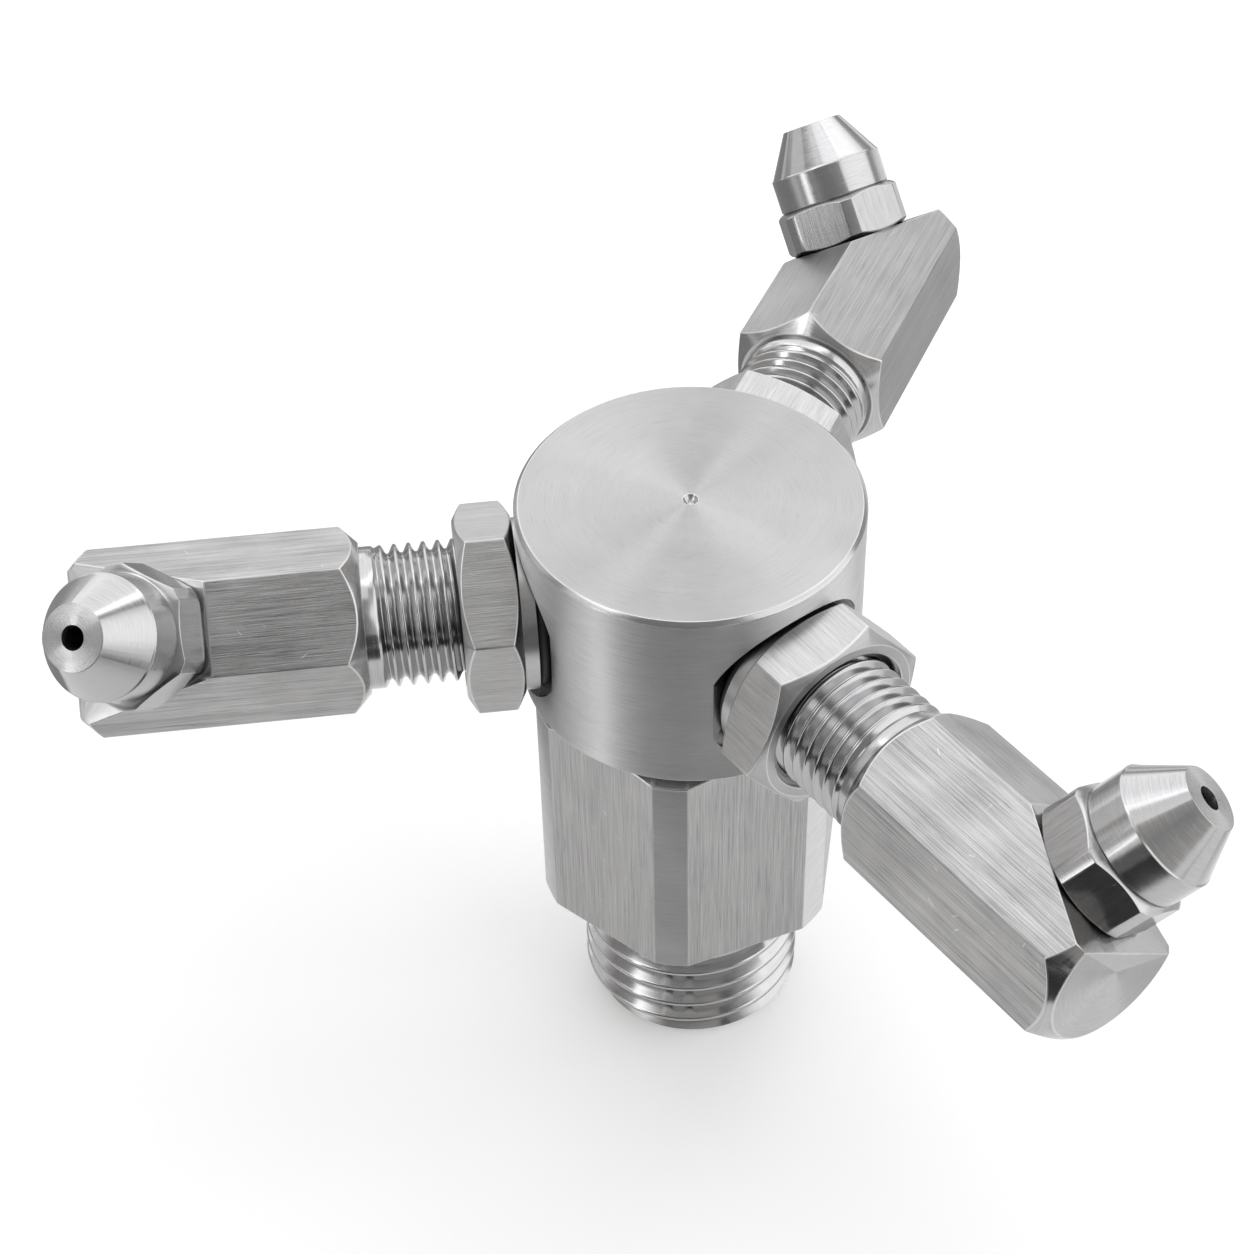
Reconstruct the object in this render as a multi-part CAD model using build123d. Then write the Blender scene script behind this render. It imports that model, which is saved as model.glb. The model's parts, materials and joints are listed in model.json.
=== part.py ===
"""Rotating cleaning nozzle: a three-armed jet head that spins on a screw-in swivel body.

The frame has its origin on the swivel axis, at the shoulder where the inlet thread meets
the hexagon. +Z points up through the head. Millimetres and degrees.
"""

from build123d import *
from math import cos, pi, radians, sin, tan
import os

# Workshop values: how far a cut runs past the face it opens, and a twist drill's point
cut_past = 1.0
drill_point_angle = 118.0

# Inlet thread, M22 x 2.5, drawn plain at its major diameter
inlet_thread_d = 22.0
inlet_thread_len = 17.5
inlet_thread_chamfer = 1.4
inlet_bore_d = 12.0

# Swivel body, hexagon bar with its corners turned down
body_af = 28.0
body_corner_d = 30.6
body_top_d = 25.8
body_hex_turn = 45.0
body_chamfer_angle = 30.0

# Ball bearings, 12 x 21 x 5, two of them
bearing_bore = 12.0
bearing_od = 21.0
bearing_w = 5.0
bearing_gap = 5.5
ball_d = 2.381
ball_count = 11
race_groove_clearance = 0.05
race_land_to_section = 0.2
cage_wall = 1.0
cage_w = 2.6
cage_pocket_clearance = 0.06

# Shaft seal at the foot of the bore and dust seal at its mouth
seal_floor = 1.5
seal_od = 17.0
seal_w = 4.0
dust_seal_w = 2.3
seal_running_clearance = 0.04
seal_seat_clearance = 0.02
dust_seal_gap = 0.3
dust_seal_recess = 0.2
seal_heel_t = 1.9
seal_lip_land = 0.5

# Rotor shaft, a hollow bolt that clamps the inner races to the hub
shaft_tail_d = 10.0
shaft_tail_gap = 0.3
shaft_bore_d = 6.8
shaft_key_af = 7.0
shaft_key_depth = 4.0
shaft_flange_d = 14.4
shaft_flange_t = 1.5
shaft_flange_gap = 1.0
shaft_thread_engagement = 7.8
thread_play = 0.03

# Retaining ring in the mouth of the bearing bore
ring_t = 1.0
ring_groove_depth = 0.6
ring_width = 2.3
ring_axial_play = 0.1
ring_opening = 8.0
ring_lug_depth = 3.3
ring_lug_w = 3.2
ring_lug_hole_d = 1.5

# Hub
hub_d = 32.0
hub_h = 20.5
hub_edge_chamfer = 0.4
hub_port_height = 9.4
hub_gap = 0.4
hub_spigot_d = 14.4
hub_gland_h = 1.2
hub_gland_ring_section = 1.1
hub_gland_play = 0.05
hub_chamber_d = 10.0
hub_chamber_roof = 4.9
centre_mark_d = 1.4
centre_mark_angle = 60.0

# Ports round the hub, one for each arm, threaded G 1/4; depths are from the hub's side
port_thread_d = 13.157
port_spot_depth = 2.2
port_spot_margin = 0.8
port_depth = 8.0
port_passage_d = 6.0
port_ring_section = 0.96
port_ring_play = 0.04
port_washer_t = 1.3
port_washer_w = 1.3215
port_washer_play = 0.1

# Lock nut
nut_af = 17.0
nut_w = 5.4
nut_chamfer_angle = 30.0
nut_face_d = 16.4
nut_countersink = 0.7

# Arm, hexagon bar with a turned and threaded stem
arm_af = 15.0
arm_thread_shown = 8.7
arm_len = 26.4
arm_end_d = 13.9
arm_chamfer_angle = 45.0
arm_bore_d = 6.0
arm_bore_past_nozzle = 3.0
arm_stem_gap = 0.6
arm_stem_chamfer = 0.8

# Nozzle tip and its slanted seat on the arm
nozzle_lean = 66.0
nozzle_set_back = 9.0
seat_h = 5.4
tip_af = 12.0
tip_corner_d = 13.2
tip_hex_w = 4.6
tip_chamfer_angle = 30.0
tip_hex_face_d = 11.4
tip_collar_d = 11.4
tip_collar_w = 3.6
tip_collar_edge = 0.15
tip_cone_w = 4.3
tip_front_d = 6.0
tip_orifice_d = 2.2
tip_orifice_len = 2.0
tip_throat_w = 3.5
tip_bore_d = 4.6
tip_stem_d = 8.0
tip_stem_len = 4.6
tip_stem_chamfer = 0.5
tip_hole_depth = 5.4
tip_seal_t = 0.8
tip_seal_w = 0.9
tip_seal_play = 0.05

# Each arm: azimuth round the hub, rolls of its seat and lock nut, turn of its tip's hexagon
arms = {
    "a": {"azimuth": 180.0, "roll": 47.0, "nut_roll": 52.0, "tip_turn": 0.0},
    "b": {"azimuth": 300.0, "roll": 52.0, "nut_roll": 38.0, "tip_turn": 8.0},
    "c": {"azimuth": 60.0, "roll": 56.0, "nut_roll": 45.0, "tip_turn": 12.0},
}

# Heights along the swivel axis, stacked up from the foot of the bore
seal_top = seal_floor + seal_w
bearing_floor = seal_top + shaft_flange_gap + shaft_flange_t
lower_bearing_z = bearing_floor
upper_bearing_z = lower_bearing_z + bearing_w + bearing_gap
bearing_top = upper_bearing_z + bearing_w
ring_groove_top = bearing_top + ring_t + ring_axial_play
dust_seal_z = ring_groove_top + dust_seal_gap
body_top = dust_seal_z + dust_seal_w + dust_seal_recess
hub_bottom = body_top + hub_gap
hub_top = hub_bottom + hub_h
port_z = hub_bottom + hub_port_height
shaft_top = bearing_top + shaft_thread_engagement
chamber_floor = shaft_top + hub_gland_h
chamber_top = hub_top - hub_chamber_roof

# The back-up washer fits round the stem, and the spot face round the washer
port_washer_d = port_thread_d + 2 * (port_washer_play + port_washer_w)
port_spot_d = port_washer_d + 2 * port_spot_margin

# Places along each arm's axis, outwards from the swivel axis
port_floor_r = hub_d / 2 - port_depth
port_spot_r = hub_d / 2 - port_spot_depth
washer_r = port_spot_r + port_ring_section + port_ring_play
nut_r = washer_r + port_washer_t
stem_r = port_floor_r + arm_stem_gap
arm_neck_r = nut_r + nut_w + arm_thread_shown
arm_end_r = arm_neck_r + arm_len
nozzle_r = arm_end_r - nozzle_set_back

# Middle of the balls' track, the races' distance from it, and the angle of a jet to its arm
pitch_r = (bearing_bore + bearing_od) / 4
race_land = race_land_to_section * (bearing_od - bearing_bore) / 2
lean_angle = radians(nozzle_lean)


def turned(points):
    """A solid of revolution about Z from its half section, given as (radius, height) points."""
    section = make_face(Polyline([(r, 0, z) for r, z in points], close=True))
    return revolve(section, Axis.Z)


def rod(diameter, low, high):
    """A plain cylinder on Z between two heights."""
    return Pos(0, 0, (low + high) / 2) * Cylinder(diameter / 2, high - low)


def tube(outer_d, inner_d, low, high):
    """A plain ring on Z between two heights."""
    return rod(outer_d, low, high) - rod(inner_d, low - cut_past, high + cut_past)


def across_corners(across_flats):
    """The size of a sharp hexagon over its corners."""
    return across_flats / cos(pi / 6)


def hexagon(across_flats, low, high, turn=0.0):
    """A hexagonal prism on Z, with one flat facing the turn angle."""
    corner = across_corners(across_flats) / 2
    angles = [radians(turn) + pi / 6 + k * pi / 3 for k in range(6)]
    face = make_face(Polyline([(corner * cos(a), corner * sin(a), low) for a in angles], close=True))
    return extrude(face, high - low, dir=(0, 0, 1))


def o_ring(middle_d, section_d, height):
    """A round-section ring on Z."""
    return Pos(0, 0, height) * Torus(middle_d / 2, section_d / 2)


def chamfered_hexagon(across_flats, low, high, low_d, high_d, angle, turn=0.0, corner_d=None):
    """A hexagonal prism whose ends are turned to cones, which scallop its flats."""
    outer = across_corners(across_flats) + cut_past if corner_d is None else corner_d
    slope = tan(radians(angle))
    profile = [(0, low)]
    if low_d is None:
        profile += [(outer / 2, low)]
    else:
        profile += [(low_d / 2, low), (outer / 2, low + (outer - low_d) / 2 * slope)]
    if high_d is None:
        profile += [(outer / 2, high)]
    else:
        profile += [(outer / 2, high - (outer - high_d) / 2 * slope), (high_d / 2, high)]
    profile += [(0, high)]
    return hexagon(across_flats, low, high, turn) & turned(profile)


def drilled(diameter, low, high):
    """A drilled hole up Z from low to high, with the drill's cone at its end."""
    point = diameter / 2 / tan(radians(drill_point_angle / 2))
    return turned([(0, low), (diameter / 2, low), (diameter / 2, high), (0, high + point)])


def swivel_body():
    """The stationary hexagon with the inlet thread below it and the bearing bore inside."""
    block = chamfered_hexagon(
        body_af, 0, body_top, None, body_top_d, body_chamfer_angle, body_hex_turn, body_corner_d
    )
    thread = chamfer(
        rod(inlet_thread_d, -inlet_thread_len, 0).edges().sort_by(Axis.Z)[0], inlet_thread_chamfer
    )
    bore = rod(inlet_bore_d, -inlet_thread_len - cut_past, seal_floor + cut_past)
    seal_bore = rod(seal_od, seal_floor, bearing_floor + cut_past)
    bearing_bore_cut = rod(bearing_od, bearing_floor, body_top + cut_past)
    groove = rod(bearing_od + 2 * ring_groove_depth, bearing_top, ring_groove_top)
    return block + thread - bore - seal_bore - bearing_bore_cut - groove


def race_groove(height):
    """The groove that the balls roll in, as a ring to cut away."""
    return o_ring(2 * pitch_r, ball_d + 2 * race_groove_clearance, height + bearing_w / 2)


def inner_race(height):
    """The bearing ring on the shaft."""
    return tube(2 * (pitch_r - race_land), bearing_bore, height, height + bearing_w) - race_groove(height)


def outer_race(height):
    """The bearing ring in the body."""
    return tube(bearing_od, 2 * (pitch_r + race_land), height, height + bearing_w) - race_groove(height)


def ball_places(height):
    """Where the balls stand round one bearing."""
    middle = height + bearing_w / 2
    step = 360 / ball_count
    return [Pos(0, 0, middle) * Rot(0, 0, step * k) * Pos(pitch_r, 0, 0) for k in range(ball_count)]


def balls(height):
    """The balls of one bearing, as separate solids."""
    return Compound(children=[place * Sphere(ball_d / 2) for place in ball_places(height)])


def ball_cage(height):
    """The ring that keeps one bearing's balls apart."""
    middle = height + bearing_w / 2
    cage = tube(2 * pitch_r + cage_wall, 2 * pitch_r - cage_wall, middle - cage_w / 2, middle + cage_w / 2)
    for place in ball_places(height):
        cage -= place * Rot(0, 90, 0) * Cylinder(ball_d / 2 + cage_pocket_clearance, 3 * cage_wall)
    return cage


def bearing_spacers():
    """The sleeves that hold the two bearings apart, inner and outer."""
    low = lower_bearing_z + bearing_w
    inner = tube(2 * (pitch_r - race_land), bearing_bore, low, upper_bearing_z)
    outer = tube(bearing_od, 2 * (pitch_r + race_land), low, upper_bearing_z)
    return inner, outer


def retaining_ring():
    """The open spring ring that holds the outer races down, with an eye at each end for pliers."""
    outer_d = bearing_od + 2 * ring_groove_depth
    ring_top = bearing_top + ring_t
    ring = tube(outer_d, outer_d - 2 * ring_width, bearing_top, ring_top)
    ring -= Pos(outer_d / 2, 0, bearing_top) * Box(outer_d, ring_opening, 2 * (ring_t + cut_past))
    lug_r = outer_d / 2 - ring_lug_depth
    for side in (-1, 1):
        lug_y = side * (ring_opening + ring_lug_w) / 2
        lug = Pos(lug_r + outer_d / 2, lug_y, bearing_top + ring_t / 2) * Box(outer_d, ring_lug_w, ring_t)
        eye = rod(ring_lug_hole_d, bearing_top - cut_past, ring_top + cut_past)
        ring += lug & rod(outer_d, bearing_top, ring_top)
        ring -= Pos(lug_r + ring_lug_w / 2, lug_y) * eye
    return ring


def lip_seal(outer_d, shaft_d, low, high):
    """A seal ring whose section narrows to a lip at the shaft."""
    seat = outer_d / 2 - seal_seat_clearance
    lip = shaft_d / 2 + seal_running_clearance
    middle = (low + high) / 2
    return turned(
        [
            (seat, low),
            (seat, high),
            (seat - seal_heel_t, high),
            (lip, middle + seal_lip_land / 2),
            (lip, middle - seal_lip_land / 2),
            (seat - seal_heel_t, low),
        ]
    )


def rotor_shaft():
    """The hollow bolt through both bearings, with a flange under the lower one and a key socket."""
    flange_low = bearing_floor - shaft_flange_t
    foot = seal_floor + shaft_tail_gap
    body = rod(shaft_tail_d, foot, flange_low)
    body += rod(shaft_flange_d, flange_low, bearing_floor)
    body += rod(bearing_bore, bearing_floor, bearing_top)
    body += rod(bearing_bore - 2 * thread_play, bearing_top, shaft_top)
    socket = hexagon(shaft_key_af, foot - cut_past, foot + shaft_key_depth)
    return body - rod(shaft_bore_d, foot - cut_past, shaft_top + cut_past) - socket


def arm_frame(arm, roll):
    """The plane whose Z runs out along an arm and whose X faces the roll angle."""
    azimuth = radians(arm["azimuth"])
    lean = radians(roll)
    side = (-sin(azimuth) * cos(lean), cos(azimuth) * cos(lean), sin(lean))
    return Plane(origin=(0, 0, port_z), x_dir=side, z_dir=(cos(azimuth), sin(azimuth), 0))


def hub():
    """The rotating head: a drum with a spigot below, a chamber inside and a port for each arm."""
    edge_r = hub_d / 2 - hub_edge_chamfer
    mark = centre_mark_d / 2 / tan(radians(centre_mark_angle / 2))
    drum = turned(
        [
            (0, bearing_top),
            (hub_spigot_d / 2, bearing_top),
            (hub_spigot_d / 2, hub_bottom),
            (edge_r, hub_bottom),
            (hub_d / 2, hub_bottom + hub_edge_chamfer),
            (hub_d / 2, hub_top - hub_edge_chamfer),
            (edge_r, hub_top),
            (centre_mark_d / 2, hub_top),
            (0, hub_top - mark),
        ]
    )
    drum -= rod(bearing_bore, bearing_top - cut_past, chamber_floor)
    drum -= rod(hub_chamber_d, chamber_floor - cut_past, chamber_top)
    port = rod(port_thread_d + 2 * thread_play, port_floor_r, hub_d)
    port += rod(port_passage_d, 0, port_floor_r + cut_past)
    port += rod(port_spot_d, port_spot_r, hub_d)
    for arm in arms.values():
        drum -= arm_frame(arm, arm["roll"]) * port
    return drum


def hub_o_ring():
    """The ring that seals the shaft's end face against the hub."""
    middle_d = bearing_bore - hub_gland_ring_section - 2 * hub_gland_play
    return o_ring(middle_d, hub_gland_ring_section, shaft_top + hub_gland_h / 2)


def port_o_ring():
    """The ring that seals a port round the arm's stem, in the arm's own frame."""
    middle_d = port_thread_d + 2 * port_washer_play + port_ring_section
    return o_ring(middle_d, port_ring_section, (port_spot_r + washer_r) / 2)


def port_washer():
    """The back-up washer between the lock nut and the ring seal, in the arm's own frame."""
    return tube(port_washer_d, port_thread_d + 2 * port_washer_play, washer_r, nut_r)


def lock_nut():
    """The hexagon nut that holds an arm at its setting, in the arm's own frame."""
    bore_r = port_thread_d / 2 + thread_play
    nut = chamfered_hexagon(
        nut_af, nut_r, nut_r + nut_w, nut_face_d, nut_face_d, nut_chamfer_angle
    )
    bore = turned(
        [
            (0, nut_r - cut_past),
            (bore_r, nut_r - cut_past),
            (bore_r, nut_r + nut_w - nut_countersink),
            (bore_r + nut_countersink, nut_r + nut_w),
            (bore_r + nut_countersink, nut_r + nut_w + cut_past),
            (0, nut_r + nut_w + cut_past),
        ]
    )
    return nut - bore


def nozzle_frame():
    """The plane of a nozzle inside its arm's frame: Z runs out along the jet."""
    return Plane(
        origin=(0, 0, nozzle_r),
        x_dir=(-cos(lean_angle), 0, sin(lean_angle)),
        z_dir=(sin(lean_angle), 0, cos(lean_angle)),
    )


def arm_body():
    """The hexagon arm with its threaded stem, waterway and slanted nozzle seat."""
    bar = chamfered_hexagon(arm_af, arm_neck_r, arm_end_r, arm_end_d, arm_end_d, arm_chamfer_angle)
    stem = chamfer(
        rod(port_thread_d, stem_r, arm_neck_r).edges().sort_by(Axis.Z)[0], arm_stem_chamfer
    )
    above_seat = Pos(0, 0, seat_h + arm_end_r / 2) * Box(2 * arm_end_r, 2 * arm_af, arm_end_r)
    hole = rod(tip_stem_d + 2 * thread_play, seat_h - tip_hole_depth, seat_h + cut_past)
    recess_d = tip_stem_d + 2 * (tip_seal_w + tip_seal_play)
    seal_recess = rod(recess_d, seat_h - tip_seal_t, seat_h + cut_past)
    waterway = drilled(arm_bore_d, stem_r - cut_past, nozzle_r + arm_bore_past_nozzle)
    return bar + stem - waterway - nozzle_frame() * (above_seat + hole + seal_recess)


def nozzle_seal():
    """The flat ring under a nozzle tip, in the nozzle's own frame."""
    return tube(
        tip_stem_d + 2 * tip_seal_w, tip_stem_d + 2 * tip_seal_play, seat_h - tip_seal_t, seat_h
    )


def nozzle_tip(turn):
    """The screwed-in jet: stem, hexagon, collar, long cone and orifice, in its own frame."""
    hex_top = seat_h + tip_hex_w
    collar_top = hex_top + tip_collar_w
    front = collar_top + tip_cone_w
    stem_end = seat_h - tip_stem_len
    edge_r = tip_collar_d / 2 - tip_collar_edge
    throat_low = front - tip_orifice_len - tip_throat_w
    tip = chamfered_hexagon(
        tip_af, seat_h, hex_top, tip_hex_face_d, tip_hex_face_d, tip_chamfer_angle, turn, tip_corner_d
    )
    tip += turned(
        [
            (0, stem_end),
            (tip_stem_d / 2 - tip_stem_chamfer, stem_end),
            (tip_stem_d / 2, stem_end + tip_stem_chamfer),
            (tip_stem_d / 2, hex_top),
            (edge_r, hex_top),
            (tip_collar_d / 2, hex_top + tip_collar_edge),
            (tip_collar_d / 2, collar_top - tip_collar_edge),
            (edge_r, collar_top),
            (tip_front_d / 2, front),
            (0, front),
        ]
    )
    return tip - turned(
        [
            (0, stem_end - cut_past),
            (tip_bore_d / 2, stem_end - cut_past),
            (tip_bore_d / 2, throat_low),
            (tip_orifice_d / 2, throat_low + tip_throat_w),
            (tip_orifice_d / 2, front + cut_past),
            (0, front + cut_past),
        ]
    )


parts = {
    "swivel_body": swivel_body(),
    "lower_outer_race": outer_race(lower_bearing_z),
    "lower_inner_race": inner_race(lower_bearing_z),
    "lower_balls": balls(lower_bearing_z),
    "lower_ball_cage": ball_cage(lower_bearing_z),
    "upper_outer_race": outer_race(upper_bearing_z),
    "upper_inner_race": inner_race(upper_bearing_z),
    "upper_balls": balls(upper_bearing_z),
    "upper_ball_cage": ball_cage(upper_bearing_z),
    "retaining_ring": retaining_ring(),
    "shaft_seal": lip_seal(seal_od, shaft_tail_d, seal_floor, seal_top),
    "dust_seal": lip_seal(bearing_od, hub_spigot_d, dust_seal_z, dust_seal_z + dust_seal_w),
    "rotor_shaft": rotor_shaft(),
    "hub": hub(),
    "hub_o_ring": hub_o_ring(),
}
parts["inner_spacer"], parts["outer_spacer"] = bearing_spacers()

for letter, arm in arms.items():
    arm_axis = arm_frame(arm, arm["roll"])
    nut_axis = arm_frame(arm, arm["nut_roll"])
    parts[f"lock_nut_{letter}"] = nut_axis * lock_nut()
    parts[f"port_washer_{letter}"] = arm_axis * port_washer()
    parts[f"port_o_ring_{letter}"] = arm_axis * port_o_ring()
    parts[f"arm_body_{letter}"] = arm_axis * arm_body()
    parts[f"nozzle_tip_{letter}"] = arm_axis * (nozzle_frame() * nozzle_tip(arm["tip_turn"]))
    parts[f"nozzle_seal_{letter}"] = arm_axis * (nozzle_frame() * nozzle_seal())

os.makedirs("parts", exist_ok=True)
for name, shape in parts.items():
    export_step(shape, f"parts/{name}.step")
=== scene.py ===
"""Rotating cleaning nozzle: turned, threaded and brushed steel built round the packed model.

Everything is in metres, in the model's own frame: Z runs up the swivel axis and its zero is
the shoulder where the inlet thread meets the hexagon.
"""

import json
from math import ceil, cos, pi, radians, sin, tan

import bmesh
import bpy
import numpy as np
from bpy.props import FloatProperty, FloatVectorProperty, PointerProperty
from mathutils import Matrix, Vector


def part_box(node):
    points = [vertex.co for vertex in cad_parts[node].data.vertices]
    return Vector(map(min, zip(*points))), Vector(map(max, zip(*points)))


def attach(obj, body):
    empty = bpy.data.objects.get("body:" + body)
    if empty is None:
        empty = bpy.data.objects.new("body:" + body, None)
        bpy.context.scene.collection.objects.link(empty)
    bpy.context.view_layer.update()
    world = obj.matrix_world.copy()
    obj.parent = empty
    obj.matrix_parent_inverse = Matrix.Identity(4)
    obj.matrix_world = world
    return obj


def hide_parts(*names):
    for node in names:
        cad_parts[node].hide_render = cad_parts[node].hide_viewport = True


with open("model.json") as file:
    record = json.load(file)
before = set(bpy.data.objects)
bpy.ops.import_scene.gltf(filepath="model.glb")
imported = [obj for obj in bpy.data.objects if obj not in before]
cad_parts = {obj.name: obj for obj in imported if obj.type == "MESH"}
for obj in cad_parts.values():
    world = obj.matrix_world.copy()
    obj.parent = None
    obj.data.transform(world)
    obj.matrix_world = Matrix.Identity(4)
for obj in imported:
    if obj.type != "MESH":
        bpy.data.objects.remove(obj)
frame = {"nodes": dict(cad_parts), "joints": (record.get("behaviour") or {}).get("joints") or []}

bl_info = {
    "name": "Rotating cleaning nozzle",
    "version": (1, 0, 0),
    "blender": (4, 5, 0),
    "location": "View3D > Sidebar > Nozzle",
    "description": "Builds the steel head, arms, jets and swivel body of a rotating cleaning nozzle",
    "category": "Add Mesh",
}

LETTERS = "abc"
MM = 0.001
MICRON = 1e-6
TINY = 1e-7  # points closer than this fall together
MATCH = 0.3 * MM  # how far a piece may depart from the node that it stands for
THREAD_PLAY = 0.03 * MM  # play on each side between a thread and its hole
FLOOR_GAP = 0.2 * MM  # gap between the inlet thread and the floor
STAGE_MIDDLE = 30 * MM  # height of the point that lights and cards face
DRILL_POINT = radians(59)  # half the point angle of a drill
CRISP_EDGE = radians(46)  # edges that turn by less than this are shaded smooth
CRISP_INNER_EDGE = radians(25)  # the same for the inner parts
ARC_STEPS = 3  # faces across a rounded corner
GRAIN_MAP = "grain"
GRAIN_SCALE = 100  # the grain map's heights are in centimetres
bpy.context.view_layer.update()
JOINTS = {joint["name"]: joint for joint in frame["joints"]}
HUB_LOW, HUB_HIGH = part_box("hub")
BODY_LOW, BODY_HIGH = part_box("swivel_body")


def size(name, description, millimetres):
    """A length property whose default is written in millimetres."""
    return FloatProperty(
        name=name, description=description, default=millimetres * MM, unit="LENGTH", precision=4
    )


def diameter_of(thing, millimetres):
    """A size property for the diameter of something."""
    return size(f"{thing.capitalize()} diameter", f"Diameter of the {thing}", millimetres)


def length_of(thing, millimetres):
    """A size property for the length of something."""
    return size(f"{thing.capitalize()} length", f"Length of the {thing}", millimetres)


def height_of(thing, millimetres):
    """A size property for the height of something above the inlet's shoulder."""
    return size(f"{thing.capitalize()} height", f"Height of the {thing}", millimetres)


def off_axis(thing, millimetres):
    """A size property for how far out something is."""
    return size(thing.capitalize(), f"Distance of the {thing} from the swivel axis", millimetres)


def turn(name, description, degrees):
    """An angle property whose default is written in degrees."""
    return FloatProperty(name=name, description=description, default=radians(degrees), unit="ROTATION")


def three_turns(name, description, *degrees):
    """A property that holds an angle for each arm."""
    angles = [radians(angle) for angle in degrees]
    return FloatVectorProperty(name=name, description=description, default=angles, unit="ROTATION")


def share(name, description, value):
    """A plain number from 0 to 1."""
    return FloatProperty(
        name=name, description=description, default=value, min=0, max=1, subtype="FACTOR"
    )


def tint(name, description, value):
    """A linear colour property."""
    return FloatVectorProperty(
        name=name, description=description, default=value, size=3, min=0, max=1, subtype="COLOR"
    )


class SwivelBodySizes(bpy.types.PropertyGroup):
    """Sizes of the stationary hexagon body and its inlet thread"""

    across_flats: size("Across flats", "Width of the hexagon over its flats", 28)
    corner_d: diameter_of("turned corners", 30.6)
    top_d: diameter_of("top face", 25.8)
    cone_angle: turn("Top cone", "Angle of the top cone to the face", 30)
    hexagon_turn: turn("Hexagon turn", "Direction that one flat faces", 45)
    thread_pitch: size("Inlet pitch", "Pitch of the inlet thread", 2.5)
    thread_d: size("Inlet thread", "Major diameter of the inlet thread", 22)
    thread_chamfer: size("Thread chamfer", "Chamfer at the free end of the inlet thread", 1.4)
    bore_d: diameter_of("inlet bore", 12)
    seal_floor: height_of("seal's floor", 1.5)
    seal_d: diameter_of("seal's bore", 17)
    bearing_floor: height_of("bearings' floor", 8)
    bearing_d: diameter_of("bearings' bore", 21)
    groove_low: height_of("groove's foot", 23.5)
    groove_high: height_of("groove's top", 24.6)
    groove_depth: size("Groove depth", "Depth of the retaining ring's groove", 0.6)


class HubSizes(bpy.types.PropertyGroup):
    """Sizes of the turned head"""

    gap: size("Gap below", "Gap between the head and the swivel body", 0.4)
    edge: size("Edge chamfer", "Chamfer on the head's rims", 0.4)
    spigot_d: diameter_of("spigot", 14.4)
    shaft_bore_d: diameter_of("shaft's bore", 12)
    chamber_d: diameter_of("water chamber", 10)
    chamber_low: height_of("chamber's floor", 32.5)
    roof: size("Chamber roof", "Steel left above the chamber", 4.9)
    mark_d: diameter_of("centre mark", 1.4)
    mark_angle: turn("Centre angle", "Point angle of the lathe centre", 60)
    port_floor: off_axis("ports' floor", 8)
    passage_d: diameter_of("ports' waterway", 6)
    spot_r: off_axis("spot faces", 13.8)
    spot_d: diameter_of("spot faces", 17.6)


class NutSizes(bpy.types.PropertyGroup):
    """Sizes of the lock nuts"""

    across_flats: size("Across flats", "Width of the nut over its flats", 17)
    inner_r: off_axis("inner face", 16.1)
    width: size("Width", "Thickness of the nut", 5.4)
    face_d: diameter_of("flat faces", 16.4)
    cone_angle: turn("Cone", "Angle of the nut's end cones to its faces", 30)
    countersink: size("Countersink", "Chamfer at the mouth of the nut's thread", 0.7)
    rolls: three_turns("Rolls", "How far each nut is turned round its arm", 52, 38, 45)


class ArmSizes(bpy.types.PropertyGroup):
    """Sizes of the arms"""

    across_flats: size("Across flats", "Width of the arm's hexagon over its flats", 15)
    neck_r: off_axis("hexagon's inner end", 30.2)
    end_r: off_axis("outer end", 56.6)
    end_d: diameter_of("end faces", 13.9)
    thread_d: size("Stem thread", "Major diameter of the stem's thread", 13.157)
    thread_pitch: size("Stem pitch", "Pitch of the stem's thread", 1.337)
    land: size("Land", "Plain land between the thread and the hexagon", 1.1)
    stem_r: off_axis("stem's end", 8.6)
    stem_chamfer: size("Stem chamfer", "Chamfer at the stem's end", 0.8)
    bore_d: diameter_of("waterway", 6)
    bore_end_r: off_axis("waterway's end", 50.6)
    rolls: three_turns("Rolls", "How far each jet is turned up round its arm", 47, 52, 56)


class TipSizes(bpy.types.PropertyGroup):
    """Sizes of the nozzle tips and their seats"""

    lean: turn("Lean", "Angle between the jet and its arm", 66)
    place_r: size("Place", "Where the jet's axis meets the arm's, from the swivel axis", 47.6)
    seat_h: size("Seat", "Height of the seat along the jet's axis", 5.4)
    across_flats: size("Across flats", "Width of the tip's hexagon over its flats", 12)
    corner_d: diameter_of("turned corners", 13.2)
    turns: three_turns("Turns", "How far each tip's hexagon is turned in its seat", 0, 8, 12)
    hexagon_w: length_of("hexagon", 4.6)
    hexagon_face_d: diameter_of("hexagon's faces", 11.4)
    cone_angle: turn("Hexagon cone", "Angle of the hexagon's end cones", 30)
    collar_d: diameter_of("collar", 11.4)
    collar_w: length_of("collar", 3.6)
    collar_edge: size("Collar edge", "Chamfer on the collar's edges", 0.15)
    cone_w: length_of("long cone", 4.3)
    front_d: diameter_of("flat front", 6)
    orifice_d: diameter_of("orifice", 2.2)
    orifice_len: length_of("orifice", 2)
    throat_w: length_of("throat", 3.5)
    bore_d: diameter_of("bore", 4.6)
    stem_d: diameter_of("stem", 8)
    stem_len: length_of("stem", 4.6)
    stem_chamfer: size("Stem chamfer", "Chamfer at the stem's end", 0.5)
    hole_depth: size("Hole depth", "Depth of the tip's hole below its seat", 5.4)
    recess_depth: size("Seal recess", "Depth of the seal's recess", 0.8)
    recess_d: diameter_of("seal's recess", 9.9)


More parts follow.
